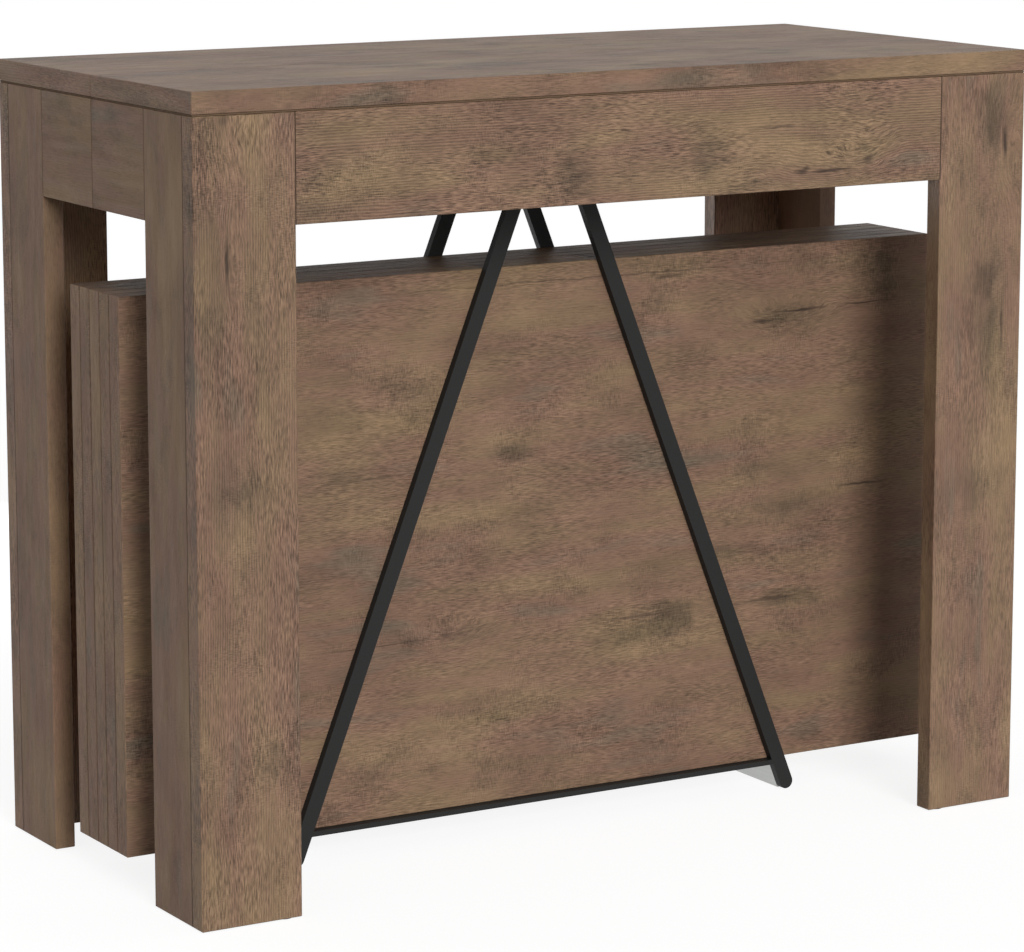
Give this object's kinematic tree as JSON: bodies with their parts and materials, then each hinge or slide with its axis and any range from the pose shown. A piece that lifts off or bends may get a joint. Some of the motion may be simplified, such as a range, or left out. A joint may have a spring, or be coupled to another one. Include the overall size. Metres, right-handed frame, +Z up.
{
  "type": "extending console table",
  "caption": "Console table with panel legs whose halves draw apart on telescopic rails, with spare leaves stored on edge in an A-shaped steel rack beneath.",
  "frame": {"origin": "on the floor, at the centre of the closed table's footprint", "axes": "+X along the width to the right as seen from the front, +Y to the rear, +Z up"},
  "size_m": [0.9, 0.41, 0.748],
  "materials": {
    "oak_laminate": "aged brown oak laminate, embossed grain, matt",
    "powder_coated_steel": "anthracite powder coat, fine texture",
    "satin_grey_steel": "light grey satin",
    "anodised_aluminium": "extruded, clear anodised",
    "zinc_plated_steel": "bright zinc plate",
    "beech": "planed, unfinished",
    "black_plastic": "matt",
    "felt": "pressed felt"
  },
  "bodies": {
    "rear_half": {"rear_top": "oak_laminate", "rear_apron": "oak_laminate", "rear_left_leg_face": "oak_laminate", "rear_left_leg_side": "oak_laminate", "rear_left_side_apron": "oak_laminate", "rear_right_leg_face": "oak_laminate", "rear_right_leg_side": "oak_laminate", "rear_right_side_apron": "oak_laminate", "rear_brackets": "zinc_plated_steel", "rear_screws": "zinc_plated_steel", "rear_felt_pads": "felt", "left_fixed_rail": "anodised_aluminium", "right_fixed_rail": "anodised_aluminium", "rail_packers": "black_plastic"},
    "front_half": {"front_top": "oak_laminate", "front_apron": "oak_laminate", "front_left_leg_face": "oak_laminate", "front_left_leg_side": "oak_laminate", "front_left_side_apron": "oak_laminate", "front_right_leg_face": "oak_laminate", "front_right_leg_side": "oak_laminate", "front_right_side_apron": "oak_laminate", "front_brackets": "zinc_plated_steel", "front_screws": "zinc_plated_steel", "front_felt_pads": "felt", "left_front_rail": "anodised_aluminium", "right_front_rail": "anodised_aluminium", "front_rail_battens": "beech"},
    "rack": {"rack_front_left_bar": "powder_coated_steel", "rack_front_right_bar": "powder_coated_steel", "rack_rear_left_bar": "powder_coated_steel", "rack_rear_right_bar": "powder_coated_steel", "rack_tray": "powder_coated_steel", "rack_left_foot_tie": "satin_grey_steel", "rack_right_foot_tie": "satin_grey_steel", "rack_apex_rod": "powder_coated_steel"},
    "left_rail_1": {"left_rail_1": "anodised_aluminium"},
    "left_rail_2": {"left_rail_2": "anodised_aluminium"},
    "left_rail_3": {"left_rail_3": "anodised_aluminium"},
    "left_rail_4": {"left_rail_4": "anodised_aluminium"},
    "left_rail_5": {"left_rail_5": "anodised_aluminium"},
    "left_rail_6": {"left_rail_6": "anodised_aluminium"},
    "left_rail_7": {"left_rail_7": "anodised_aluminium"},
    "left_rail_8": {"left_rail_8": "anodised_aluminium"},
    "left_rail_9": {"left_rail_9": "anodised_aluminium"},
    "right_rail_1": {"right_rail_1": "anodised_aluminium"},
    "right_rail_2": {"right_rail_2": "anodised_aluminium"},
    "right_rail_3": {"right_rail_3": "anodised_aluminium"},
    "right_rail_4": {"right_rail_4": "anodised_aluminium"},
    "right_rail_5": {"right_rail_5": "anodised_aluminium"},
    "right_rail_6": {"right_rail_6": "anodised_aluminium"},
    "right_rail_7": {"right_rail_7": "anodised_aluminium"},
    "right_rail_8": {"right_rail_8": "anodised_aluminium"},
    "right_rail_9": {"right_rail_9": "anodised_aluminium"},
    "leaf_1": {"leaf_1": "oak_laminate"},
    "leaf_2": {"leaf_2": "oak_laminate"},
    "leaf_3": {"leaf_3": "oak_laminate"},
    "leaf_4": {"leaf_4": "oak_laminate"},
    "leaf_5": {"leaf_5": "oak_laminate"}
  },
  "joints": [
    {"name": "front_half_slide", "type": "slide", "parent": "rear_half", "child": "front_half", "axis": [0, -1, 0], "range_m": [0, 2.6]},
    {"name": "left_rail_1_slide", "type": "slide", "parent": "rear_half", "child": "left_rail_1", "axis": [0, -1, 0], "range_m": [0, 0.26]},
    {"name": "left_rail_2_slide", "type": "slide", "parent": "rear_half", "child": "left_rail_2", "axis": [0, -1, 0], "range_m": [0, 0.52]},
    {"name": "left_rail_3_slide", "type": "slide", "parent": "rear_half", "child": "left_rail_3", "axis": [0, -1, 0], "range_m": [0, 0.78]},
    {"name": "left_rail_4_slide", "type": "slide", "parent": "rear_half", "child": "left_rail_4", "axis": [0, -1, 0], "range_m": [0, 1.04]},
    {"name": "left_rail_5_slide", "type": "slide", "parent": "rear_half", "child": "left_rail_5", "axis": [0, -1, 0], "range_m": [0, 1.3]},
    {"name": "left_rail_6_slide", "type": "slide", "parent": "rear_half", "child": "left_rail_6", "axis": [0, -1, 0], "range_m": [0, 1.56]},
    {"name": "left_rail_7_slide", "type": "slide", "parent": "rear_half", "child": "left_rail_7", "axis": [0, -1, 0], "range_m": [0, 1.82]},
    {"name": "left_rail_8_slide", "type": "slide", "parent": "rear_half", "child": "left_rail_8", "axis": [0, -1, 0], "range_m": [0, 2.08]},
    {"name": "left_rail_9_slide", "type": "slide", "parent": "rear_half", "child": "left_rail_9", "axis": [0, -1, 0], "range_m": [0, 2.34]},
    {"name": "right_rail_1_slide", "type": "slide", "parent": "rear_half", "child": "right_rail_1", "axis": [0, -1, 0], "range_m": [0, 0.26]},
    {"name": "right_rail_2_slide", "type": "slide", "parent": "rear_half", "child": "right_rail_2", "axis": [0, -1, 0], "range_m": [0, 0.52]},
    {"name": "right_rail_3_slide", "type": "slide", "parent": "rear_half", "child": "right_rail_3", "axis": [0, -1, 0], "range_m": [0, 0.78]},
    {"name": "right_rail_4_slide", "type": "slide", "parent": "rear_half", "child": "right_rail_4", "axis": [0, -1, 0], "range_m": [0, 1.04]},
    {"name": "right_rail_5_slide", "type": "slide", "parent": "rear_half", "child": "right_rail_5", "axis": [0, -1, 0], "range_m": [0, 1.3]},
    {"name": "right_rail_6_slide", "type": "slide", "parent": "rear_half", "child": "right_rail_6", "axis": [0, -1, 0], "range_m": [0, 1.56]},
    {"name": "right_rail_7_slide", "type": "slide", "parent": "rear_half", "child": "right_rail_7", "axis": [0, -1, 0], "range_m": [0, 1.82]},
    {"name": "right_rail_8_slide", "type": "slide", "parent": "rear_half", "child": "right_rail_8", "axis": [0, -1, 0], "range_m": [0, 2.08]},
    {"name": "right_rail_9_slide", "type": "slide", "parent": "rear_half", "child": "right_rail_9", "axis": [0, -1, 0], "range_m": [0, 2.34]},
    {"name": "rack_slide", "type": "slide", "parent": "rear_half", "child": "rack", "axis": [0, 1, 0], "range_m": [-0.05, 0.05]},
    {"name": "leaf_1_slide", "type": "slide", "parent": "rack", "child": "leaf_1", "axis": [-1, 0, 0], "range_m": [-0.9, 0.9]},
    {"name": "leaf_2_slide", "type": "slide", "parent": "rack", "child": "leaf_2", "axis": [-1, 0, 0], "range_m": [-0.9, 0.9]},
    {"name": "leaf_3_slide", "type": "slide", "parent": "rack", "child": "leaf_3", "axis": [-1, 0, 0], "range_m": [-0.9, 0.9]},
    {"name": "leaf_4_slide", "type": "slide", "parent": "rack", "child": "leaf_4", "axis": [-1, 0, 0], "range_m": [-0.9, 0.9]},
    {"name": "leaf_5_slide", "type": "slide", "parent": "rack", "child": "leaf_5", "axis": [-1, 0, 0], "range_m": [-0.9, 0.9]}
  ],
  "couplings": [
    {"joint": "left_rail_1_slide", "follows": "front_half_slide", "ratio": 0.1},
    {"joint": "left_rail_2_slide", "follows": "front_half_slide", "ratio": 0.2},
    {"joint": "left_rail_3_slide", "follows": "front_half_slide", "ratio": 0.3},
    {"joint": "left_rail_4_slide", "follows": "front_half_slide", "ratio": 0.4},
    {"joint": "left_rail_5_slide", "follows": "front_half_slide", "ratio": 0.5},
    {"joint": "left_rail_6_slide", "follows": "front_half_slide", "ratio": 0.6},
    {"joint": "left_rail_7_slide", "follows": "front_half_slide", "ratio": 0.7},
    {"joint": "left_rail_8_slide", "follows": "front_half_slide", "ratio": 0.8},
    {"joint": "left_rail_9_slide", "follows": "front_half_slide", "ratio": 0.9},
    {"joint": "right_rail_1_slide", "follows": "front_half_slide", "ratio": 0.1},
    {"joint": "right_rail_2_slide", "follows": "front_half_slide", "ratio": 0.2},
    {"joint": "right_rail_3_slide", "follows": "front_half_slide", "ratio": 0.3},
    {"joint": "right_rail_4_slide", "follows": "front_half_slide", "ratio": 0.4},
    {"joint": "right_rail_5_slide", "follows": "front_half_slide", "ratio": 0.5},
    {"joint": "right_rail_6_slide", "follows": "front_half_slide", "ratio": 0.6},
    {"joint": "right_rail_7_slide", "follows": "front_half_slide", "ratio": 0.7},
    {"joint": "right_rail_8_slide", "follows": "front_half_slide", "ratio": 0.8},
    {"joint": "right_rail_9_slide", "follows": "front_half_slide", "ratio": 0.9}
  ]
}
